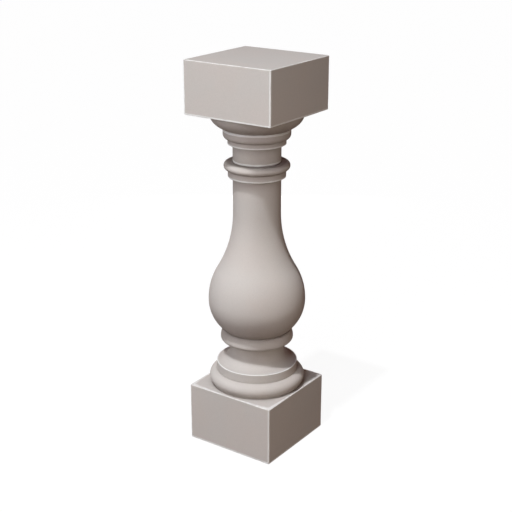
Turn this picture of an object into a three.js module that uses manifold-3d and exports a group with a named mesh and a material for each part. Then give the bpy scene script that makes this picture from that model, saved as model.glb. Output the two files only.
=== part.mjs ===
// Stone baluster: a square plinth and a square abacus with a turned body between them, all one stone.
// Millimetres, +Z up. The origin is the centre of the underside, and -Y is the front.

import * as THREE from 'three';
import { mergeVertices, toCreasedNormals } from 'three/addons/utils/BufferGeometryUtils.js';
import Module from 'manifold-3d';

// The square blocks at the foot and the head.
const blockWidth = 150;
const plinthHeight = 92.5;
const abacusHeight = 79.4;
const arris = 1.2;

// Base of the turned body: a torus, a fillet and a hollow scotia.
const torusHeight = 22.7;
const torusSetback = 1;
const filletHeight = 14.3;
const scotiaHeight = 34.1;
const scotiaSweep = 20;
const waistRadius = 42;

// The bead under the belly is fuller below its widest line than above it.
const beadHeight = 18.9;
const beadWidestHeight = 6.2;
const beadRadius = 56.2;
const beadLedge = 7;

// The vase: its belly, the round shoulder above and the hollow throat that runs into the shaft.
const bellyFootRadius = 49.4;
const bellyRadius = 74.3;
const bellyRise = 49.4;
const throatRise = 137.5;
const shoulderShare = 0.36;
const shaftRadius = 36;
const shaftHeight = 56.3;

// The collar and the astragal part the shaft from the neck.
const collarHeight = 10.4;
const collarProud = 7.2;
const astragalHeight = 12.3;
const neckHeight = 26.6;
const quirkHeight = 1.8;
const quirkDepth = 1.2;
const quirkSink = 0.9;

// Capital: a fillet, a tall bead and the echinus that carries the abacus.
const capFilletHeight = 8.1;
const capFilletProud = 7.3;
const capBeadHeight = 14.9;
const capBeadRise = 7.5;
const capBeadLedge = 1;
const capBeadProud = 6.9;
const echinusHeight = 22.6;
const echinusTurn = (62 * Math.PI) / 180;
const echinusSetback = 1.4;
const abacusOverhang = 5.4;

// How finely the round forms are cut into flat faces.
const turnedSides = 60;
const chordError = 0.25;

// Heights of the beds between the members, from the ground up.
const filletFoot = plinthHeight + torusHeight;
const scotiaFoot = filletFoot + filletHeight;
const beadFoot = scotiaFoot + scotiaHeight;
const bellyFoot = beadFoot + beadHeight;
const bellyWidest = bellyFoot + bellyRise;
const shaftFoot = bellyWidest + throatRise;
const collarFoot = shaftFoot + shaftHeight;
const astragalFoot = collarFoot + collarHeight;
const neckFoot = astragalFoot + astragalHeight;
const capFilletFoot = neckFoot + neckHeight;
const capBeadFoot = capFilletFoot + capFilletHeight;
const echinusFoot = capBeadFoot + capBeadHeight;
const abacusFoot = echinusFoot + echinusHeight;

// Radii that follow from their neighbours.
const torusRadius = blockWidth / 2 - torusSetback;
const filletRadius = torusRadius - torusHeight / 2;
const beadFootRadius = waistRadius + beadLedge;
const collarRadius = shaftRadius + collarProud;
const capFilletRadius = shaftRadius + capFilletProud;
const capBeadRadius = capFilletRadius + capBeadProud;
const echinusFootRadius = capBeadRadius - echinusSetback;
const echinusRadius = blockWidth / 2 - abacusOverhang;

const rightAngle = Math.PI / 2;

// One point of the turned outline, as its radius and its height.
function at(radius, height) {
  return new THREE.Vector2(radius, height);
}

// Points along an ellipse about (radius, height), close enough that no chord is off by chordError.
function arc(radius, height, across, up, from, to) {
  const widest = Math.max(across, up);
  const step = 2 * Math.acos(1 - chordError / widest);
  const count = Math.ceil(Math.abs(to - from) / step);
  return new THREE.EllipseCurve(radius, height, across, up, from, to, to < from).getPoints(count);
}

// A half round moulding that springs from a wall of the given radius.
function halfRound(wallRadius, foot, height) {
  return arc(wallRadius, foot + height / 2, height / 2, height / 2, -rightAngle, rightAngle);
}

function base() {
  const hollow = filletRadius - waistRadius;
  return [
    ...halfRound(filletRadius, plinthHeight, torusHeight),
    at(filletRadius, scotiaFoot),
    ...arc(filletRadius, scotiaFoot + scotiaSweep, hollow, scotiaSweep, -rightAngle, -2 * rightAngle),
    at(waistRadius, beadFoot),
  ];
}

function bead() {
  const widest = beadFoot + beadWidestHeight;
  const below = [beadRadius - beadFootRadius, beadWidestHeight];
  const above = [beadRadius - bellyFootRadius, beadHeight - beadWidestHeight];
  return [
    ...arc(beadFootRadius, widest, ...below, -rightAngle, 0),
    ...arc(bellyFootRadius, widest, ...above, 0, rightAngle),
  ];
}

// The belly's underside is a circle through its foot. Its shoulder and the throat are two circles
// that meet without a crease, turned by the same angle one way and back.
function vase() {
  const swell = bellyRadius - bellyFootRadius;
  const underRadius = (swell ** 2 + bellyRise ** 2) / (2 * swell);
  const underAngle = 2 * Math.atan(swell / bellyRise);
  const turn = 2 * Math.atan((bellyRadius - shaftRadius) / throatRise);
  const bothRadii = throatRise / Math.sin(turn);
  const shoulder = bothRadii * shoulderShare;
  const throat = bothRadii - shoulder;
  return [
    ...arc(bellyRadius - underRadius, bellyWidest, underRadius, underRadius, -underAngle, 0),
    ...arc(bellyRadius - shoulder, bellyWidest, shoulder, shoulder, 0, turn),
    ...arc(shaftRadius + throat, shaftFoot, throat, throat, Math.PI + turn, Math.PI),
    at(shaftRadius, collarFoot),
  ];
}

function collarAndNeck() {
  return [
    at(collarRadius, collarFoot),
    ...halfRound(collarRadius, astragalFoot, astragalHeight),
    at(shaftRadius - quirkDepth, neckFoot - quirkSink),
    at(shaftRadius, neckFoot - quirkSink + quirkHeight),
    at(shaftRadius, capFilletFoot),
  ];
}

function capital() {
  const springRadius = capFilletRadius + capBeadLedge;
  const swell = capBeadRadius - springRadius;
  const across = (echinusRadius - echinusFootRadius) / (1 - Math.cos(echinusTurn));
  const up = echinusHeight / Math.sin(echinusTurn);
  return [
    at(capFilletRadius, capFilletFoot),
    at(capFilletRadius, capBeadFoot),
    ...arc(springRadius, capBeadFoot + capBeadRise, swell, capBeadRise, -rightAngle, 0),
    at(capBeadRadius, echinusFoot),
    ...arc(echinusRadius - across, abacusFoot, across, up, -echinusTurn, 0),
  ];
}

// The turned body's core runs on to the middle of both blocks, so that the three bodies join in one.
function turnedBody() {
  const below = plinthHeight / 2;
  const above = abacusFoot + abacusHeight / 2;
  const outline = [
    at(0, below),
    at(filletRadius, below),
    ...base(),
    ...bead(),
    ...vase(),
    ...collarAndNeck(),
    ...capital(),
    at(echinusRadius, above),
    at(0, above),
  ];
  const nearlyZero = 1e-6;
  const distinct = outline.filter((point, i) => i === 0 || point.distanceTo(outline[i - 1]) > nearlyZero);
  return new THREE.LatheGeometry(distinct, turnedSides).rotateX(rightAngle);
}

// A square block with eased arrises. Its upright corners are worn twice as round as its edges.
function block(foot, height) {
  const corner = 2 * arris;
  const reach = Math.SQRT2 * (blockWidth / 2 - corner);
  const plan = new THREE.Shape();
  for (let side = 0; side < 4; side += 1) {
    const start = side * rightAngle;
    const middle = start + rightAngle / 2;
    plan.absarc(reach * Math.cos(middle), reach * Math.sin(middle), corner, start, start + rightAngle);
  }
  const solid = new THREE.ExtrudeGeometry(plan, {
    depth: height - 2 * arris,
    curveSegments: 2,
    bevelThickness: arris,
    bevelSize: arris,
    bevelOffset: -arris,
    bevelSegments: 3,
  });
  return solid.translate(0, 0, foot + arris);
}

const wasm = await Module();
wasm.setup();

// A closed solid with shared vertices. Faces that shrink to nothing on the lathe's axis are dropped.
function toSolid(geometry) {
  const bare = geometry.clone();
  bare.deleteAttribute('normal');
  bare.deleteAttribute('uv');
  const merged = mergeVertices(bare);
  const corners = merged.index.array;
  const kept = [];
  for (let i = 0; i < corners.length; i += 3) {
    const [a, b, c] = corners.subarray(i, i + 3);
    if (a !== b && b !== c && c !== a) {
      kept.push(a, b, c);
    }
  }
  return new wasm.Manifold(new wasm.Mesh({
    numProp: 3,
    vertProperties: merged.attributes.position.array,
    triVerts: new Uint32Array(kept),
  }));
}

function toGeometry(solid) {
  const { vertProperties, triVerts } = solid.getMesh();
  const geometry = new THREE.BufferGeometry();
  geometry.setAttribute('position', new THREE.BufferAttribute(vertProperties, 3));
  geometry.setIndex(new THREE.BufferAttribute(triVerts, 1));
  return geometry;
}

const stone = new THREE.MeshStandardMaterial({
  name: 'stone',
  color: new THREE.Color().setRGB(0.75, 0.72, 0.695, THREE.SRGBColorSpace),
  roughness: 0.85,
  metalness: 0,
});

function carvedStone() {
  const solid = toSolid(turnedBody())
    .add(toSolid(block(0, plinthHeight)))
    .add(toSolid(block(abacusFoot, abacusHeight)));
  const sharpest = Math.PI / 7;
  const mesh = new THREE.Mesh(toCreasedNormals(toGeometry(solid), sharpest), stone);
  mesh.name = 'baluster';
  return mesh;
}

const part = new THREE.Group();
part.name = 'stone_baluster';
part.add(carvedStone());

export default part;
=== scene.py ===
"""Dresses the packed baluster: one finely cut stone with a weathered finish, pale arrises that are partly
painted highlight and painted shade in its creases and under its members, on a pale studio floor.
"""

import math

import bpy
import numpy as np
from bpy.props import FloatProperty, FloatVectorProperty, IntProperty, PointerProperty
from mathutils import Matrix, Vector, noise
from mathutils.bvhtree import BVHTree


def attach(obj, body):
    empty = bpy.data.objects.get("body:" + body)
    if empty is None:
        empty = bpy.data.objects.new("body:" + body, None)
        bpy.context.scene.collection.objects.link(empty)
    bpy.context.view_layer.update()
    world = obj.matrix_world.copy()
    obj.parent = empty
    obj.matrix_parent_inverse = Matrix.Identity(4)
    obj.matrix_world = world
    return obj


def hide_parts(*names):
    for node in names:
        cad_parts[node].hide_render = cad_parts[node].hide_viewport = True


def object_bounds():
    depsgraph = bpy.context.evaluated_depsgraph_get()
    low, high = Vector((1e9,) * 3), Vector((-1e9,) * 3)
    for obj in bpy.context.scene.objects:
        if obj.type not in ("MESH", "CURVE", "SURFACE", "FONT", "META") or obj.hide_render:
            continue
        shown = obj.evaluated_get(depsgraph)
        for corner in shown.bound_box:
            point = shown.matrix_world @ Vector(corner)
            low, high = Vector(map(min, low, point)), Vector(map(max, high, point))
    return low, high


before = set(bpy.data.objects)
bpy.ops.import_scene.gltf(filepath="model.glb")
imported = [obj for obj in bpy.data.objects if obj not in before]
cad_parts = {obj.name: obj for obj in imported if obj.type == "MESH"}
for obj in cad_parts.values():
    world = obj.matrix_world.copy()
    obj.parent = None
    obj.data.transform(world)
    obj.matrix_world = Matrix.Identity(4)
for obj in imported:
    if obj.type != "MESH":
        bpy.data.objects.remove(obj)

bl_info = {
    "name": "Stone Baluster",
    "version": (1, 0, 0),
    "blender": (4, 5, 0),
    "location": "3D View > Sidebar > Baluster",
    "description": "Cuts a square-blocked stone baluster with a turned body and sets it in soft studio light",
    "category": "Add Mesh",
}

CAD_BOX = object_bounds()
CAD_NODE = "baluster"
STONE_TOP = CAD_BOX[1].z
QUARTERS = 4


def length(name, description, default):
    """A size in metres that a user may change."""
    return FloatProperty(
        name=name, description=description, default=default, min=0, unit="LENGTH", precision=5)


def share(name, description, default):
    """A plain number from nought to one."""
    return FloatProperty(name=name, description=description, default=default, min=0, max=1, subtype="FACTOR")


def colour(name, description, default):
    """A linear colour."""
    return FloatVectorProperty(
        name=name, description=description, default=default, size=3, min=0, subtype="COLOR")


def angle(name, description, degrees):
    """An angle, given in degrees and kept in radians."""
    return FloatProperty(name=name, description=description, default=math.radians(degrees), subtype="ANGLE")


class BalusterBlocks(bpy.types.PropertyGroup):
    """Sizes of the square plinth and abacus"""

    plinth_height: length("Plinth Height", "Height of the square block at the foot", 0.0925)
    abacus_height: length("Abacus Height", "Height of the square block at the head", 0.0794)
    edge: length("Edge Easing", "How far the level edges of both blocks are rubbed round", 0.0012)
    corner: length("Corner Easing", "Radius of the upright corners of both blocks", 0.0018)


class BalusterBase(bpy.types.PropertyGroup):
    """Sizes of the turned mouldings between the plinth and the belly"""

    torus_height: length("Torus Height", "Height of the half round on the plinth", 0.0227)
    torus_setback: length("Torus Setback", "How far the half round stays inside the plinth's face", 0.001)
    fillet_height: length("Fillet Height", "Height of the plain band on the half round", 0.0143)
    scotia_height: length("Scotia Height", "Height of the hollow from the band to the bead", 0.0341)
    scotia_sweep: length("Scotia Sweep", "Height over which the hollow curves in", 0.020)
    waist_radius: length("Waist Radius", "Radius of the narrow neck under the bead", 0.042)
    bead_height: length("Bead Height", "Height of the bead under the belly", 0.0189)
    bead_widest: length("Bead Widest", "Height of the bead's widest line above its foot", 0.0062)
    bead_radius: length("Bead Radius", "Radius of the bead at its widest", 0.0562)
    bead_ledge: length("Bead Ledge", "How far out from the waist the bead's lower curve is centred", 0.007)


class BalusterVase(bpy.types.PropertyGroup):
    """Sizes of the belly, the throat and the shaft"""

    foot_radius: length("Belly Foot Radius", "Radius where the belly sits on the bead", 0.0494)
    belly_radius: length("Belly Radius", "Radius of the belly at its widest", 0.0743)
    belly_rise: length("Belly Rise", "Height from the belly's foot to its widest line", 0.0494)
    throat_rise: length("Throat Rise", "Height from the widest line to the straight shaft", 0.1375)
    shoulder_share: share("Shoulder Share", "Share of the ogee that is the round shoulder", 0.36)
    shaft_radius: length("Shaft Radius", "Radius of the shaft and the neck", 0.036)
    shaft_height: length("Shaft Height", "Height of the straight shaft", 0.0563)


class BalusterHead(bpy.types.PropertyGroup):
    """Sizes of the collar, the neck and the capital"""

    collar_height: length("Collar Height", "Height of the plain band under the astragal", 0.0104)
    collar_proud: length("Collar Projection", "How far the band stands out from the shaft", 0.0072)
    astragal_height: length("Astragal Height", "Height of the half round on the band", 0.0123)
    neck_height: length("Neck Height", "Height of the neck above the astragal", 0.0266)
    quirk_height: length("Quirk Height", "Height of the small sunk line at the neck's foot", 0.0018)
    quirk_depth: length("Quirk Depth", "Depth of the small sunk line at the neck's foot", 0.0012)
    quirk_sink: length("Quirk Sink", "How far that line lies below the astragal's top", 0.0009)
    fillet_height: length("Cap Fillet Height", "Height of the band on the neck", 0.0081)
    fillet_proud: length("Cap Fillet Projection", "How far that band stands out from the neck", 0.0073)
    bead_height: length("Cap Bead Height", "Height of the bead under the echinus", 0.0149)
    bead_rise: length("Cap Bead Rise", "Height over which the bead swells", 0.0075)
    bead_ledge: length("Cap Bead Ledge", "Ledge between the band and the bead", 0.001)
    bead_proud: length("Cap Bead Projection", "How far the bead stands out from the band", 0.0069)
    bead_chamfer: length("Cap Bead Chamfer", "Height of the worn slope on top of the bead", 0.0022)
    echinus_setback: length("Echinus Setback", "How far the echinus starts inside the bead", 0.0014)
    echinus_turn: angle("Echinus Turn", "How far the echinus turns from its foot to the upright", 62)
    abacus_overhang: length("Abacus Overhang", "How far the abacus stands out over the echinus", 0.0054)


class BalusterCutting(bpy.types.PropertyGroup):
    """How finely the stone is cut, how far its edges are rubbed, and where its pale arris lines and painted
    shade go
    """

    points_per_quarter: IntProperty(
        name="Points per Quarter", description="Points of a quarter of each ring", default=48, min=16, step=2)
    turn_per_ring: angle("Turn per Ring", "How far the outline may turn between two rings", 7)
    longest_step: length("Longest Step", "Greatest distance between two rings", 0.008)
    arris_easing: length("Arris Easing", "How far the turned arrises are rubbed round", 0.0006)
    crease_easing: length("Crease Easing", "How far the turned creases are filled", 0.0004)
    # Widths of the pale arris line, which is partly rubbing and partly painted highlight.
    arris_reach: length(
        "Arris Reach", "How far wear spreads down a face from its upper arris, and over a ledge", 0.0012)
    foot_reach: length("Foot Reach", "How far wear spreads up a face from its lower arris", 0.0020)
    upright_reach: length("Upright Reach", "How far wear spreads from the blocks' upright corners", 0.0004)
    # The pale line is partly a painted highlight, so it is kept weaker on the blocks' upper edges, where the
    # key light already brightens the arris.
    top_pale_line: share("Top Wear", "Wear of the blocks' upper edges against that of the lower ones", 0.55)
    # How far the painted shade in the creases spreads.
    crease_reach: length("Crease Reach", "How far dirt spreads from a crease", 0.0020)
    shelter_reach: length(
        "Shelter Reach", "Distance within which other parts of the stone shelter a face", 0.15)
    # Painted shade on faces that look down.
    underside_shade: share("Underside Grime", "Grime on a face that looks straight down", 0.70)
    # The painted shade under members is kept weaker on the lowest part of the stone, by height alone.
    foot_shade: share(
        "Foot Grime", "Share of the grime that splashing rain doesn't wash off near the ground", 0.35)
    unevenness: length(
        "Unevenness", "Measure of the hand-rubbed hollows in the faces and the nicks in the arrises", 0.00025)


class BalusterFinish(bpy.types.PropertyGroup):
    """Colours and roughness of the stone"""

    body: colour("Stone", "The stone's main colour", (0.530, 0.485, 0.460))
    warm: colour("Warm Stone", "Colour of the warmer clouds in the stone", (0.537, 0.485, 0.457))
    cool: colour("Cool Stone", "Colour of the greyer clouds in the stone", (0.522, 0.486, 0.463))
    # Pale colour of the arrises: partly rubbed stone, partly a painted highlight along every convex edge.
    worn_and_highlit: colour("Worn Arris", "Colour of rubbed edges", (0.800, 0.787, 0.777))
    # Dark colour of the painted shade in the creases, under members and on undersides.
    dirt: colour("Dirt", "Colour of the dirt in creases and of the grime", (0.210, 0.175, 0.155))
    roughness: share("Roughness", "Mean roughness of the rubbed faces", 0.84)


class BalusterStage(bpy.types.PropertyGroup):
    """The camera, the lamps and the floor"""

    camera_place: FloatVectorProperty(
        name="Camera Place", description="Where the camera stands", default=(0.8803, -1.2460, 0.8529),
        subtype="XYZ")
    camera_heading: angle("Camera Heading", "How far the camera looks round to the left of +Y", 35.296)
    camera_dip: angle("Camera Dip", "How far the camera looks down", 19.936)
    focal_length: FloatProperty(
        name="Focal Length", description="Focal length in mm on a 36 mm wide sensor", default=75.24, min=1)
    key_heading: angle("Key Heading", "Side that the key light comes from, turned from -Y towards +X", 2)
    key_height: angle("Key Height", "Height of the key light above the floor", 67.5)
    key_width: angle("Key Width", "How wide the key light looks, which softens its shadows", 2)
    key_colour: colour("Key Colour", "Strength of the key light in each colour", (1.94, 2.00, 2.08))
    lamp_distance: length("Lamp Distance", "Distance of the soft lamps from the stone's middle", 1.34)
    lamp_size: length("Lamp Size", "Width of the soft lamps", 0.5)
    front_heading: angle("Front Heading", "Side that the front lamp stands on", 15)
    front_height: angle("Front Height", "Height of the front lamp", 30)
    front_colour: colour("Front Colour", "Brightness of the front lamp in each colour", (0.214, 0.213, 0.237))
    high_heading: angle("High Heading", "Side that the high lamp hangs on", 15)
    high_height: angle("High Height", "Height of the high lamp", 60)
    high_colour: colour("High Colour", "Brightness of the high lamp in each colour", (0.265, 0.303, 0.293))
    left_heading: angle("Left Heading", "Side that the left lamp stands on", -50)
    left_height: angle("Left Height", "Height of the left lamp", 0)
    left_colour: colour("Left Colour", "Brightness of the left lamp in each colour", (0.320, 0.347, 0.340))
    right_heading: angle("Right Heading", "Side that the right lamp stands on", 60)
    right_height: angle("Right Height", "Height of the right lamp", 0)
    right_colour: colour("Right Colour", "Brightness of the right lamp in each colour", (0.259, 0.260, 0.224))
    back_heading: angle("Back Heading", "Side that the back lamp stands on", 215)
    back_height: angle("Back Height", "Height of the back lamp", -20)
    back_colour: colour("Back Colour", "Brightness of the back lamp in each colour", (0.46, 0.43, 0.40))
    room_colour: colour("Room Colour", "Brightness of the room all round", (0.060, 0.010, 0.006))
    floor_colour: colour("Floor Colour", "Colour of the pale floor", (0.08, 0.08, 0.08))
    floor_glow: colour("Floor Glow", "Light that the floor gives off itself", (0.94, 0.94, 0.94))
    floor_radius: length("Floor Radius", "Where the floor starts to curve up", 8.0)
    wall_curve: length("Wall Curve", "Radius of the curve from the floor to the wall", 3.0)
    wall_height: length("Wall Height", "Height of the wall", 7.0)


# The outline of the stone

BLUNT_START = -60  # degrees at which a moulding over a crease starts, so that the crease stays open
ASTRAGAL_END = 96  # degrees at which the astragal ends, a little past its top
EASED_SHARE = 3  # an easing takes at most one part in three of the run beside it
RISING = 0.5  # sine of the slope from which a run counts as rising, and not as a ledge
INWARDS = math.pi * 3 / 4  # heading from which a run counts as the top of a block
SHARP_TURN = math.radians(22)  # turn from which a corner counts as wholly sharp
RINGS_NEAR_END = np.array([0.0004, 0.0009, 0.0015, 0.0025])  # metres from a run's ends to its closest rings


def ellipse(radius, height, across, up, start, end, samples=160):
    """Points on an ellipse about (radius, height), with its angles in degrees."""
    turn = np.radians(np.linspace(start, end, samples))
    return np.stack([radius + across * np.cos(turn), height + up * np.sin(turn)], axis=1)


def straight(*points):
    """A straight stretch of the outline."""
    return np.array(points, float)


def half_round(wall, foot, height, start=-90, end=90):
    """A half round moulding on a wall: one that starts above its lowest line has an upright foot."""
    arc = ellipse(wall, foot + height / 2, height / 2, height / 2, start, end)
    return arc if start == -90 else np.vstack([straight((arc[0, 0], foot)), arc])


def levels(scene):
    """Heights of the beds between the members, from the ground up."""
    base, vase, head = scene.baluster_base, scene.baluster_vase, scene.baluster_head
    heights = {
        "torus": scene.baluster_blocks.plinth_height,
        "fillet": base.torus_height,
        "scotia": base.fillet_height,
        "bead": base.scotia_height,
        "belly": base.bead_height,
        "widest": vase.belly_rise,
        "shaft": vase.throat_rise,
        "collar": vase.shaft_height,
        "astragal": head.collar_height,
        "neck": head.astragal_height,
        "cap_fillet": head.neck_height,
        "cap_bead": head.fillet_height,
        "echinus": head.bead_height,
    }
    at = dict(zip(heights, np.cumsum(list(heights.values()))))
    at["top"] = STONE_TOP
    at["abacus"] = at["top"] - scene.baluster_blocks.abacus_height
    return at


def base_runs(scene, at, half):
    """The torus, the fillet, the scotia and the bead."""
    base = scene.baluster_base
    wall = half - base.torus_setback - base.torus_height / 2
    hollow = wall - base.waist_radius
    bead_foot = base.waist_radius + base.bead_ledge
    belly_foot = scene.baluster_vase.foot_radius
    widest = at["bead"] + base.bead_widest
    over_height = base.bead_height - base.bead_widest
    scotia = ellipse(wall, at["scotia"] + base.scotia_sweep, hollow, base.scotia_sweep, -90, -180)
    under = ellipse(bead_foot, widest, base.bead_radius - bead_foot, base.bead_widest, BLUNT_START, 0)
    over = ellipse(belly_foot, widest, base.bead_radius - belly_foot, over_height, 0, 90)
    return [
        half_round(wall, at["torus"], base.torus_height, start=BLUNT_START),
        straight((wall, at["fillet"]), (wall, at["scotia"])),
        np.vstack([scotia, straight((base.waist_radius, at["bead"]))]),
        straight((base.waist_radius, at["bead"]), under[0]),
        np.vstack([under, over[1:]]),
    ]


def vase_run(scene, at):
    """The belly, its shoulder, the throat and the shaft, as one smooth stretch."""
    vase = scene.baluster_vase
    swell = vase.belly_radius - vase.foot_radius
    under = (swell**2 + vase.belly_rise**2) / (2 * swell)
    under_turn = math.degrees(2 * math.atan(swell / vase.belly_rise))
    turn = 2 * math.atan((vase.belly_radius - vase.shaft_radius) / vase.throat_rise)
    both = vase.throat_rise / math.sin(turn)
    shoulder = both * vase.shoulder_share
    throat = both - shoulder
    turned = math.degrees(turn)
    belly = ellipse(vase.belly_radius - under, at["widest"], under, under, -under_turn, 0)
    round_part = ellipse(vase.belly_radius - shoulder, at["widest"], shoulder, shoulder, 0, turned)
    hollow_part = ellipse(vase.shaft_radius + throat, at["shaft"], throat, throat, 180 + turned, 180)
    top = straight((vase.shaft_radius, at["collar"]))
    return np.vstack([belly, round_part[1:], hollow_part[1:], top])


def head_runs(scene, at, half):
    """The collar, the astragal, the neck and the capital."""
    head = scene.baluster_head
    shaft = scene.baluster_vase.shaft_radius
    collar = shaft + head.collar_proud
    fillet = shaft + head.fillet_proud
    spring = fillet + head.bead_ledge
    bead = fillet + head.bead_proud
    chamfer = at["echinus"] - head.bead_chamfer
    echinus_foot = bead - head.echinus_setback
    echinus_head = half - head.abacus_overhang
    across = (echinus_head - echinus_foot) / (1 - math.cos(head.echinus_turn))
    up = (at["abacus"] - at["echinus"]) / math.sin(head.echinus_turn)
    echinus_start = -math.degrees(head.echinus_turn)
    quirk_foot = (shaft - head.quirk_depth, at["neck"] - head.quirk_sink)
    quirk_top = (shaft, quirk_foot[1] + head.quirk_height)
    astragal = half_round(collar, at["astragal"], head.astragal_height, end=ASTRAGAL_END)
    cap_bead = ellipse(spring, at["cap_bead"] + head.bead_rise, bead - spring, head.bead_rise, -90, 0)
    return [
        straight((shaft, at["collar"]), (collar, at["collar"])),
        straight((collar, at["collar"]), (collar, at["astragal"])),
        astragal,
        straight(astragal[-1], quirk_foot),
        straight(quirk_foot, quirk_top),
        straight(quirk_top, (shaft, at["cap_fillet"])),
        straight((shaft, at["cap_fillet"]), (fillet, at["cap_fillet"])),
        straight((fillet, at["cap_fillet"]), (fillet, at["cap_bead"])),
        straight((fillet, at["cap_bead"]), (spring, at["cap_bead"])),
        np.vstack([cap_bead, straight((bead, chamfer))]),
        straight((bead, chamfer), (echinus_foot, at["echinus"])),
        ellipse(echinus_head - across, at["abacus"], across, up, echinus_start, 0),
    ]


class Run:
    """A smooth stretch of the outline, which can be read at any distance along it."""

    def __init__(self, points, square_start=0.0, square_end=0.0):
        self.points = points
        steps = np.linalg.norm(np.diff(points, axis=0), axis=1)
        self.reach = np.concatenate([[0], np.cumsum(steps)])
        self.length = self.reach[-1]
        self.square = (square_start, square_end)

    def at(self, distance):
        """Radius, height and squareness at a distance from the start."""
        radius = np.interp(distance, self.reach, self.points[:, 0])
        height = np.interp(distance, self.reach, self.points[:, 1])
        square = np.interp(distance, [0, self.length], self.square)
        return np.array([radius, height, square])

    def heading(self, at_end):
        """The direction in which the outline starts or ends, as an angle."""
        ahead = self.points[-1] - self.points[-2] if at_end else self.points[1] - self.points[0]
        return math.atan2(ahead[1], ahead[0])

    def rises(self):
        """Whether the outline starts upwards, and not along a level ledge."""
        return math.sin(self.heading(at_end=False)) > RISING

    def stations(self, start, end, turn_step, longest):
        """Distances along the run, close together where it curves and next to its ends."""
        ahead = np.diff(self.points, axis=0)
        headings = np.unwrap(np.arctan2(ahead[:, 1], ahead[:, 0]))
        turned = np.cumsum(np.abs(np.diff(headings, append=headings[-1])))
        need = self.reach / longest + np.concatenate([[0], turned]) / turn_step
        first, last = np.interp([start, end], self.reach, need)
        count = max(1, math.ceil(last - first))
        inner = np.interp(np.linspace(first, last, count + 1), need, self.reach)
        near = RINGS_NEAR_END[2 * RINGS_NEAR_END < end - start]
        wanted = np.unique(np.concatenate([inner, start + near, end - near]))
        least_gap = RINGS_NEAR_END[0] / 2
        kept = [start]
        for distance in wanted[1:]:
            if distance - kept[-1] > least_gap and end - distance > least_gap:
                kept.append(distance)
        return kept + [end]


def whole_outline(scene):
    """All runs from the middle of the underside to the middle of the top."""
    half = (CAD_BOX[1].x - CAD_BOX[0].x) / 2
    at = levels(scene)
    turned = [*base_runs(scene, at, half), vase_run(scene, at), *head_runs(scene, at, half)]
    foot, head = turned[0][0], turned[-1][-1]
    return [
        Run(straight((0, 0), (half, 0)), 1, 1),
        Run(straight((half, 0), (half, at["torus"])), 1, 1),
        Run(straight((half, at["torus"]), foot), 1, 0),
        *[Run(points) for points in turned],
        Run(straight(head, (half, at["abacus"])), 0, 1),
        Run(straight((half, at["abacus"]), (half, at["top"])), 1, 1),
        Run(straight((half, at["top"]), (0, at["top"])), 1, 1),
    ]


def bend_between(before, after):
    """How far the outline turns at a corner: positive at an arris, negative in a crease."""
    turn = after.heading(at_end=False) - before.heading(at_end=True)
    return (turn + math.pi) % (2 * math.pi) - math.pi


def easing_at(scene, before, after):
    """How far a corner is rubbed round or filled."""
    if before.square[1] == 1:
        return scene.baluster_blocks.edge
    cutting = scene.baluster_cutting
    easing = cutting.arris_easing if bend_between(before, after) > 0 else cutting.crease_easing
    return min(easing, before.length / EASED_SHARE, after.length / EASED_SHARE)


def pale_line_at(scene, before, after):
    """How strong a corner's pale line is, from nought to one. Partly rubbing and partly painted highlight, it
    is kept weaker on the blocks' upper edges, which the key light already brightens.
    """
    upper_edge = before.square == (1, 1) and after.heading(at_end=False) > INWARDS
    return scene.baluster_cutting.top_pale_line if upper_edge else 1.0


def eased_corner(start, corner, end, steps=5):
    """Points of a small round between two stretches, without its ends."""
    onward = np.linspace(0, 1, steps + 1)[1:-1, None]
    back = 1 - onward
    return back**2 * start + 2 * back * onward * corner + onward**2 * end


def corner_reach(bend, gap, reach):
    """One at a sharp corner of the wanted kind, and less with distance from it."""
    sharpness = min(max(bend, 0) / SHARP_TURN, 1)
    return sharpness * math.exp(-((gap / reach) ** 2))


def ring_stations(scene):
    """Radius, height and squareness of every ring of the stone, and the strength at each ring of its pale
    arris line, partly rubbing and partly painted highlight, and of its painted crease shade.
    """
    cutting = scene.baluster_cutting
    runs = whole_outline(scene)
    corners = list(zip(runs, runs[1:]))
    eases = [0.0, *[easing_at(scene, before, after) for before, after in corners], 0.0]
    bends = [0.0, *[bend_between(before, after) for before, after in corners], 0.0]
    worn_and_highlit = [0.0, *[pale_line_at(scene, before, after) for before, after in corners], 0.0]
    rows, places = [], []
    for i, run in enumerate(runs):
        start, end = eases[i], run.length - eases[i + 1]
        for distance in run.stations(start, end, cutting.turn_per_ring, cutting.longest_step):
            rows.append(run.at(distance))
            places.append((i, distance, run.length - distance))
        if i + 1 < len(runs):
            entry = runs[i + 1].at(eases[i + 1])
            for point in eased_corner(run.at(end), run.at(run.length), entry):
                rows.append(point)
                places.append((i, run.length, 0.0))
    # Pale arris line, partly rubbing and partly painted highlight, and painted shade in the creases.
    highlit_wear, dirt = [], []
    for i, since, until in places:
        reach_up = cutting.foot_reach if runs[i].rises() else cutting.arris_reach
        from_foot = worn_and_highlit[i] * corner_reach(bends[i], since - eases[i], reach_up)
        from_head = worn_and_highlit[i + 1] * corner_reach(bends[i + 1], until, cutting.arris_reach)
        highlit_wear.append(max(from_foot, from_head))
        creases = [(-bends[i], since), (-bends[i + 1], until)]
        dirt.append(max(corner_reach(bend, gap, cutting.crease_reach) for bend, gap in creases))
    return np.array(rows), np.array(highlit_wear), np.array(dirt)


# The stone's mesh

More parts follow.
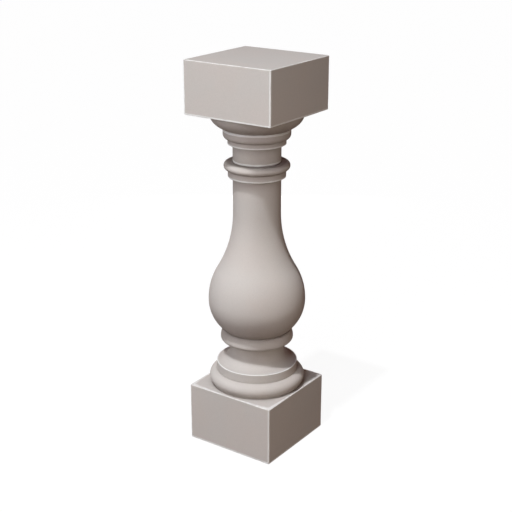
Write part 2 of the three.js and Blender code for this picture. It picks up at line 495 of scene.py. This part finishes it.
CORNER_POINTS = 3  # points of an eighth of a ring that lie on a block's round corner
POINTS_NEAR_CORNER = np.array([0.0005, 0.0013, 0.003, 0.006])  # metres from that round to its closest points
INNER_CORNER = 0.25  # share of the corner's radius that the rings on a block's beds keep
HOLLOW_SCALE, HOLLOW_DEPTH = 22.0, 0.7  # hollows in a metre, and their depth as a share of the unevenness
NICK_SCALE, NICK_DEPTH = 150.0, 1.2  # the same of the nicks in the arrises
SHELTER_RAYS = 64  # directions in which a point looks for shelter
RAY_START = 0.0004  # metres off the face at which they start
SHADE_STEPS = 12  # places in a quarter of a ring at which the painted shade is measured
SHADE_LOW_PART, SHADE_FULL_PART = 6, 2  # the painted shade under members is weakest on the lowest sixth, and full on the upper half


def side_distances(points_per_quarter, straight_end):
    """Distances along half a side from its middle, with points drawn together next to the corner."""
    even = points_per_quarter // 2 - CORNER_POINTS - len(POINTS_NEAR_CORNER)
    along = np.linspace(0, straight_end - 2 * POINTS_NEAR_CORNER[-1], even + 1)
    return np.concatenate([along, straight_end - POINTS_NEAR_CORNER[::-1]])


def square_ring(shares, half, corner):
    """A ring of points round a square with round corners, from the middle of its +X side."""
    centre = half - corner
    side = np.stack([np.full(len(shares), half), shares * centre], axis=1)
    turn = np.linspace(0, math.pi / 4, CORNER_POINTS + 1)[1:]
    arc = centre + corner * np.stack([np.cos(turn), np.sin(turn)], axis=1)
    eighth = np.vstack([side, arc])
    quarter = np.vstack([eighth, eighth[-2:0:-1, ::-1]])
    ring = []
    for _ in range(QUARTERS):
        ring.append(quarter)
        quarter = np.stack([-quarter[:, 1], quarter[:, 0]], axis=1)
    return np.vstack(ring)


def stone_points(scene):
    """The stone's rings of points, with the pale arris line, partly rubbing and partly painted highlight, and
    the painted crease shade at each point.
    """
    cutting, blocks = scene.baluster_cutting, scene.baluster_blocks
    rows, highlit_wear, dirt = ring_stations(scene)
    rows, highlit_wear, dirt = rows[1:-1], highlit_wear[1:-1], dirt[1:-1]
    half = rows[:, 0].max()
    straight_end = half - blocks.corner
    shares = side_distances(cutting.points_per_quarter, straight_end) / straight_end
    from_corner = np.concatenate([(1 - shares) * straight_end, np.zeros(CORNER_POINTS)])
    from_corner = np.tile(np.concatenate([from_corner, from_corner[-2:0:-1]]), QUARTERS)
    # Pale line on the blocks' upright corners, partly rubbing and partly painted highlight.
    upright = np.exp(-((from_corner / cutting.upright_reach) ** 2))
    count = len(upright)
    turn = np.arange(count) * 2 * math.pi / count
    circle = np.stack([np.cos(turn), np.sin(turn)], axis=1)
    rings, worn_and_highlit, crease_shade_values = [], [], []
    for (radius, height, square), ring_pale_line, ring_crease_shade in zip(rows, highlit_wear, dirt):
        corner = max(blocks.corner - (half - radius), blocks.corner * INNER_CORNER)
        corner = min(corner, radius / 2)
        plan = square * square_ring(shares, radius, corner) + (1 - square) * radius * circle
        rings.append(np.column_stack([plan, np.full(count, height)]))
        on_side = square == 1 and radius > straight_end
        worn_and_highlit.append(np.maximum(ring_pale_line, upright if on_side else 0) * np.ones(count))
        crease_shade_values.append(np.full(count, ring_crease_shade))
    return np.array(rings), np.array(worn_and_highlit), np.array(crease_shade_values)


def ring_faces(ring_count, point_count):
    """Faces between neighbouring rings, and a fan over each end."""
    last = ring_count - 1
    foot, top = ring_count * point_count, ring_count * point_count + 1
    faces = []
    for k in range(point_count):
        after = (k + 1) % point_count
        faces.append((foot, after, k))
        faces.append((top, last * point_count + k, last * point_count + after))
        for i in range(last):
            low, high = i * point_count, (i + 1) * point_count
            faces.append((low + k, low + after, high + after, high + k))
    return faces


def rub_unevenly(mesh, depth, worn_and_highlit):
    """Sinks the faces here and there, as hand rubbing leaves them: none is raised, and the beds stay flat."""
    places = [vertex.co.copy() for vertex in mesh.vertices]
    normals = [vertex.normal.copy() for vertex in mesh.vertices]
    for vertex, place, normal, highlit_wear in zip(mesh.vertices, places, normals, worn_and_highlit):
        if min(abs(place.z), abs(place.z - STONE_TOP)) < depth:
            continue
        hollow = 0.5 + 0.5 * noise.noise(place * HOLLOW_SCALE)
        nick = highlit_wear * max(noise.noise(place * NICK_SCALE), 0)
        vertex.co = place - normal * depth * (HOLLOW_DEPTH * hollow + NICK_DEPTH * nick)


def open_directions(count):
    """Directions over a level face, closest together where light counts most on a matt face."""
    golden = math.pi * (3 - math.sqrt(5))
    directions = []
    for k in range(count):
        level = math.sqrt((k + 0.5) / count)
        direction = (level * math.cos(k * golden), level * math.sin(k * golden), math.sqrt(1 - level**2))
        directions.append(direction)
    return directions


def shelter_of(tree, vertex, directions, reach):
    """How far other members hide a point: nought in the open, one if they hide it closely all round."""
    normal = vertex.normal
    across = normal.orthogonal().normalized()
    along = normal.cross(across)
    start = vertex.co + normal * RAY_START
    hidden = 0.0
    for x, y, z in directions:
        distance = tree.ray_cast(start, across * x + along * y + normal * z, reach)[3]
        if distance is not None:
            hidden += 1 - distance / reach
    return hidden / len(directions)


def shelter_shade_at(cutting, tree, vertex, directions):
    """Painted shade under members and on undersides, from how closely other members hide the point and how
    far it looks down, weaker towards the ground.
    """
    # Painted shade: darker where other members hide the point, and where the face looks down.
    shelter = shelter_of(tree, vertex, directions, cutting.shelter_reach)
    underside = cutting.underside_shade * max(-vertex.normal.z, 0)
    # The painted shade fades towards the ground: a share of it on the lowest sixth, all of it on the upper
    # half.
    shade_low_height, shade_full_height = STONE_TOP / SHADE_LOW_PART, STONE_TOP / SHADE_FULL_PART
    left = np.interp(vertex.co.z, [shade_low_height, shade_full_height], [cutting.foot_shade, 1])
    return (shelter + underside) * left


def shelter_shade_values(mesh, ring_count, point_count, cutting):
    """The painted shade under members at every point, measured on an eighth of each ring and repeated by
    symmetry.
    """
    tree = BVHTree.FromPolygons([v.co for v in mesh.vertices], [p.vertices for p in mesh.polygons])
    directions = open_directions(SHELTER_RAYS)
    quarter = point_count // QUARTERS
    measured = range(0, quarter // 2 + 1, quarter // SHADE_STEPS)
    places = np.arange(point_count) % quarter
    places = np.minimum(places, quarter - places)
    rings = []
    for i in range(ring_count):
        row = [shelter_shade_at(cutting, tree, mesh.vertices[i * point_count + k], directions) for k in measured]
        rings.append(np.interp(places, list(measured), row))
    return np.append(np.concatenate(rings), [0, 0])


def add_values(mesh, name, values):
    """A named value at every point of the mesh, for the material to read."""
    attribute = mesh.attributes.new(name, "FLOAT", "POINT")
    attribute.data.foreach_set("value", np.asarray(values, np.float32))


def cut_stone(scene):
    """The whole stone as one closed mesh."""
    cutting = scene.baluster_cutting
    rings, worn_and_highlit, crease_shade_values = stone_points(scene)
    ring_count, point_count = rings.shape[:2]
    ends = np.array([[0, 0, 0], [0, 0, STONE_TOP]])
    points = np.vstack([rings.reshape(-1, 3), ends])
    worn_and_highlit = np.append(worn_and_highlit.ravel(), [0, 0])
    crease_shade_values = np.append(crease_shade_values.ravel(), [0, 0])
    mesh = bpy.data.meshes.new("baluster_stone")
    mesh.from_pydata(points.tolist(), [], ring_faces(ring_count, point_count))
    mesh.validate()
    mesh.polygons.foreach_set("use_smooth", [True] * len(mesh.polygons))
    # Painted shade under members and on undersides, measured before the faces are sunk.
    grime = shelter_shade_values(mesh, ring_count, point_count, cutting)
    rub_unevenly(mesh, cutting.unevenness, worn_and_highlit)
    add_values(mesh, "arris_wear", worn_and_highlit)
    add_values(mesh, "crease_dirt", crease_shade_values)
    add_values(mesh, "grime", grime)
    mesh.update()
    return mesh


# Shader maths and nodes


class Value:
    """A node's output that takes part in Python maths: each operator adds a Math node."""

    def __init__(self, graph, socket):
        self.graph = graph
        self.socket = socket

    def maths(self, operation, first, second):
        """The result of one Math node."""
        return self.graph.add("ShaderNodeMath", {"operation": operation}, {0: first, 1: second})

    def __add__(self, other):
        return self.maths("ADD", self, other)

    def __radd__(self, other):
        return self.maths("ADD", other, self)

    def __sub__(self, other):
        return self.maths("SUBTRACT", self, other)

    def __rsub__(self, other):
        return self.maths("SUBTRACT", other, self)

    def __mul__(self, other):
        return self.maths("MULTIPLY", self, other)

    def __rmul__(self, other):
        return self.maths("MULTIPLY", other, self)

    def at_most(self, limit):
        """The value, or the limit where the value is above it."""
        return self.maths("MINIMUM", self, limit)


class Graph:
    """A node tree that is filled by name: one method adds any node."""

    def __init__(self, tree):
        self.tree = tree
        tree.nodes.clear()

    def add(self, kind, settings, sockets, output=0):
        """Adds a node, sets it up, fills its sockets with values or links, and gives one output."""
        node = self.tree.nodes.new(kind)
        for name, setting in settings.items():
            setattr(node, name, setting)
        for name, value in sockets.items():
            if isinstance(value, Value):
                self.tree.links.new(value.socket, node.inputs[name])
            else:
                node.inputs[name].default_value = value
        return Value(self, node.outputs[output]) if len(node.outputs) else node

    def point_value(self, name):
        """A value that the mesh holds at its points."""
        return self.add("ShaderNodeAttribute", {"attribute_name": name}, {}, "Fac")

    def noise(self, place, scale, detail=3.0, roughness=0.55):
        """Smooth noise from 0 to 1 about the half, with its scale in patches to the metre."""
        sockets = {"Vector": place, "Scale": scale, "Detail": detail, "Roughness": roughness}
        return self.add("ShaderNodeTexNoise", {}, sockets)

    def ramp(self, value, low, high):
        """From 0 at low to 1 at high, eased at both ends."""
        sockets = {"Value": value, "From Min": low, "From Max": high}
        return self.add("ShaderNodeMapRange", {"interpolation_type": "SMOOTHSTEP"}, sockets)

    def mix(self, factor, first, second):
        """From the first colour to the second."""
        settings = {"data_type": "RGBA", "clamp_factor": True}
        return self.add("ShaderNodeMix", settings, {0: factor, 6: first, 7: second}, output=2)


def opaque(rgb):
    """A colour with full cover."""
    return (*rgb, 1.0)


def bare_stone(graph, place, finish):
    """The colour of clean stone: faint clouds, with fine paler and darker grains."""
    drift_share, pale_share, dark_share = 0.5, 0.22, 0.20
    paler, darker = 1.35, 0.62
    grain_low, grain_high = 0.56, 0.72
    clouds = graph.ramp(graph.noise(place, scale=11.0, detail=4.0), low=0.36, high=0.64)
    drift = graph.ramp(graph.noise(place, scale=38.0, detail=5.0, roughness=0.6), low=0.35, high=0.65)
    ground = graph.mix(clouds, opaque(finish.cool), opaque(finish.warm))
    ground = graph.mix(drift * drift_share, ground, opaque(finish.body))
    grains = graph.noise(place, scale=900.0, detail=2.0, roughness=0.7)
    pale = graph.ramp(grains, grain_low, grain_high) * pale_share
    dark = graph.ramp(1 - grains, grain_low, grain_high) * dark_share
    ground = graph.mix(pale, ground, opaque([min(c * paler, 1) for c in finish.body]))
    return graph.mix(dark, ground, opaque([c * darker for c in finish.body]))


def stone_colour(graph, place, finish):
    """The stone's colour, with a pale line on the arrises that is partly real rubbing and partly a painted
    highlight, and painted shade in the creases, under members and on undersides.
    """
    pale_line_raggedness, crease_shade_raggedness = 0.55, 0.30
    most_shelter_shade, shelter_shade_cover, crease_shade_cover, pale_line_cover = 0.65, 0.8, 0.25, 0.85
    ground = bare_stone(graph, place, finish)
    uneven = graph.noise(place, scale=120.0) - 0.5
    # Pale line on the arrises: partly real rubbing, partly a painted highlight.
    rubbed = graph.ramp(graph.point_value("arris_wear") + uneven * pale_line_raggedness, low=0.25, high=0.75)
    # Painted shade in the creases.
    painted_crease_mask = graph.ramp(graph.point_value("crease_dirt") + uneven * crease_shade_raggedness, low=0.20, high=1.0)
    # Painted shade under members and on undersides.
    hidden = graph.point_value("grime").at_most(most_shelter_shade)
    shelter_shade_mix = hidden * (uneven * shelter_shade_cover + shelter_shade_cover)
    # Painted shade mixed in under members and on undersides.
    ground = graph.mix(shelter_shade_mix, ground, opaque(finish.dirt))
    # Painted shade mixed into the creases.
    ground = graph.mix(painted_crease_mask * crease_shade_cover, ground, opaque(finish.dirt))
    # The pale line, partly rubbing and partly painted highlight, goes on last, over the painted shade.
    return graph.mix(rubbed * pale_line_cover, ground, opaque(finish.worn_and_highlit))


def stone_height(graph, place):
    """Height of the grains and pits, in metres, calmer on the rubbed arrises."""
    grain_height, pit_depth, calmed_share = 0.00007, 0.00022, 0.7
    grains = graph.noise(place, scale=700.0, roughness=0.65)
    pores = graph.add("ShaderNodeTexVoronoi", {"feature": "F1"}, {"Vector": place, "Scale": 330.0})
    pits = 1 - graph.ramp(pores, low=0.06, high=0.22)
    sparse = graph.ramp(graph.noise(place, scale=60.0, detail=2.0), low=0.52, high=0.66)
    calm = 1 - graph.point_value("arris_wear") * calmed_share
    return (grains * grain_height - pits * sparse * pit_depth) * calm


def stone_material(finish):
    """The finish of the whole stone."""
    roughness_spread = 0.16
    material = bpy.data.materials.new("weathered_stone")
    material.use_nodes = True
    graph = Graph(material.node_tree)
    place = graph.add("ShaderNodeTexCoord", {}, {}, "Object")
    smoothest = finish.roughness - roughness_spread / 2
    rough = graph.noise(place, scale=160.0) * roughness_spread + smoothest
    height = stone_height(graph, place)
    sockets = {
        "Base Color": stone_colour(graph, place, finish),
        "Roughness": rough,
        "Specular IOR Level": 0.3,
        "Normal": graph.add("ShaderNodeBump", {}, {"Strength": 1.0, "Distance": 1.0, "Height": height}),
    }
    shader = graph.add("ShaderNodeBsdfPrincipled", {}, sockets)
    graph.add("ShaderNodeOutputMaterial", {}, {"Surface": shader})
    return material


# The studio

SENSOR_WIDTH = 36  # mm
SOFT_LAMPS = ("front", "high", "left", "right", "back")
FLOOR_SIDES = 96
FLOOR_CURVE_POINTS = 16


def toward(heading, height):
    """The direction towards a place round the stone: heading turns from -Y towards +X."""
    level = math.cos(height)
    return Vector((math.sin(heading) * level, -math.cos(heading) * level, math.sin(height)))


def looking(direction):
    """The rotation of a camera or a lamp that points in a direction."""
    return direction.to_track_quat("-Z", "Y").to_euler()


def add_object(name, data):
    """A new object in the scene."""
    made = bpy.data.objects.new(name, data)
    bpy.context.scene.collection.objects.link(made)
    return made


def add_camera(stage):
    """The camera at the photograph's viewing angle."""
    data = bpy.data.cameras.new("camera")
    data.lens = stage.focal_length
    data.sensor_width = SENSOR_WIDTH
    data.dof.use_dof = False
    camera = add_object("camera", data)
    camera.location = stage.camera_place
    camera.rotation_euler = looking(-toward(stage.camera_heading, stage.camera_dip))
    bpy.context.scene.camera = camera


def split_colour(rgb):
    """A colour's brightest value, and the colour divided by it."""
    brightest = max(rgb)
    return brightest, [c / brightest for c in rgb]


def add_key(stage):
    """The key light, which casts the shadows of the abacus and the mouldings down the stone."""
    data = bpy.data.lights.new("key", "SUN")
    data.energy, data.color = split_colour(stage.key_colour)
    data.angle = stage.key_width
    key = add_object("key", data)
    key.rotation_euler = looking(-toward(stage.key_heading, stage.key_height))


def add_soft_lamp(stage, side):
    """A soft lamp near the stone: its brightness is what a white matt face in the middle would show."""
    data = bpy.data.lights.new(side, "AREA")
    brightness, data.color = split_colour(getattr(stage, side + "_colour"))
    data.energy = brightness * (math.pi * stage.lamp_distance) ** 2
    data.size = stage.lamp_size
    lamp = add_object(side, data)
    direction = toward(getattr(stage, side + "_heading"), getattr(stage, side + "_height"))
    middle = (CAD_BOX[0] + CAD_BOX[1]) / 2
    lamp.location = middle + direction * stage.lamp_distance
    lamp.rotation_euler = looking(-direction)


def light_room(stage):
    """The room's own soft light, the same all round."""
    world = bpy.data.worlds.new("studio")
    world.use_nodes = True
    bpy.context.scene.world = world
    graph = Graph(world.node_tree)
    sockets = {"Color": opaque(stage.room_colour), "Strength": 1.0}
    shader = graph.add("ShaderNodeBackground", {}, sockets)
    graph.add("ShaderNodeOutputWorld", {}, {"Surface": shader})


def floor_material(stage):
    """A pale floor that glows, so that shadows on it stay light."""
    material = bpy.data.materials.new("pale_floor")
    material.use_nodes = True
    graph = Graph(material.node_tree)
    sockets = {
        "Base Color": opaque(stage.floor_colour),
        "Roughness": 1.0,
        "Specular IOR Level": 0.0,
        "Emission Color": opaque(stage.floor_glow),
        "Emission Strength": 1.0,
    }
    shader = graph.add("ShaderNodeBsdfPrincipled", {}, sockets)
    graph.add("ShaderNodeOutputMaterial", {}, {"Surface": shader})
    return material


def add_floor(stage):
    """A round floor that curves up into a wall, and neither lights the stone nor stops a lamp's light."""
    curve = stage.wall_curve
    bend = ellipse(stage.floor_radius, curve, curve, curve, -90, 0, FLOOR_CURVE_POINTS)
    outline = np.vstack([bend, straight((stage.floor_radius + curve, stage.wall_height))])
    turn = np.arange(FLOOR_SIDES) * 2 * math.pi / FLOOR_SIDES
    circle = np.stack([np.cos(turn), np.sin(turn)], axis=1)
    rings = [np.column_stack([radius * circle, np.full(FLOOR_SIDES, z)]) for radius, z in outline]
    faces = [tuple(range(FLOOR_SIDES))]
    for i in range(len(outline) - 1):
        low, high = i * FLOOR_SIDES, (i + 1) * FLOOR_SIDES
        for k in range(FLOOR_SIDES):
            after = (k + 1) % FLOOR_SIDES
            faces.append((low + k, low + after, high + after, high + k))
    mesh = bpy.data.meshes.new("floor")
    mesh.from_pydata(np.vstack(rings).tolist(), [], faces)
    mesh.materials.append(floor_material(stage))
    floor = add_object("floor", mesh)
    floor.visible_diffuse = False
    floor.visible_glossy = False
    floor.visible_shadow = False


# Operators, panel and registration


class BALUSTER_OT_stone(bpy.types.Operator):
    """Cut the whole stone, give it its finish and set it in the place of the plain solid"""

    bl_idname = "baluster.stone"
    bl_label = "Cut Stone"
    bl_options = {"REGISTER", "UNDO"}

    def execute(self, context):
        stone = add_object("baluster_stone", cut_stone(context.scene))
        stone.data.materials.append(stone_material(context.scene.baluster_finish))
        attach(stone, "root")
        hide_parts(CAD_NODE)
        return {"FINISHED"}


class BALUSTER_OT_stage(bpy.types.Operator):
    """Set up the pale floor, the soft lights and the camera"""

    bl_idname = "baluster.stage"
    bl_label = "Set Stage"
    bl_options = {"REGISTER", "UNDO"}

    def execute(self, context):
        stage = context.scene.baluster_stage
        add_camera(stage)
        add_key(stage)
        for side in SOFT_LAMPS:
            add_soft_lamp(stage, side)
        light_room(stage)
        add_floor(stage)
        context.scene.view_settings.view_transform = "Standard"
        return {"FINISHED"}


class BALUSTER_PT_sidebar(bpy.types.Panel):
    """Lists the steps that make the baluster and its stage"""

    bl_idname = "BALUSTER_PT_sidebar"
    bl_label = "Stone Baluster"
    bl_space_type = "VIEW_3D"
    bl_region_type = "UI"
    bl_category = "Baluster"

    def draw(self, context):
        for operator in OPERATORS:
            self.layout.operator(operator.bl_idname)
        for name, group in GROUPS.items():
            box = self.layout.box()
            box.label(text=group.__doc__)
            for prop in group.__annotations__:
                box.prop(getattr(context.scene, name), prop)


GROUPS = {
    "baluster_blocks": BalusterBlocks,
    "baluster_base": BalusterBase,
    "baluster_vase": BalusterVase,
    "baluster_head": BalusterHead,
    "baluster_cutting": BalusterCutting,
    "baluster_finish": BalusterFinish,
    "baluster_stage": BalusterStage,
}
OPERATORS = (BALUSTER_OT_stone, BALUSTER_OT_stage)
CLASSES = (*GROUPS.values(), *OPERATORS, BALUSTER_PT_sidebar)


def register():
    """Registers the classes and hangs the sizes on the scene."""
    for cls in CLASSES:
        bpy.utils.register_class(cls)
    for name, group in GROUPS.items():
        setattr(bpy.types.Scene, name, PointerProperty(type=group))


def unregister():
    """Takes the sizes off the scene and unregisters the classes."""
    for name in GROUPS:
        delattr(bpy.types.Scene, name)
    for cls in reversed(CLASSES):
        bpy.utils.unregister_class(cls)


def main():
    """Makes everything in order."""
    register()
    bpy.ops.baluster.stone()
    bpy.ops.baluster.stage()


if __name__ == "__main__":
    main()
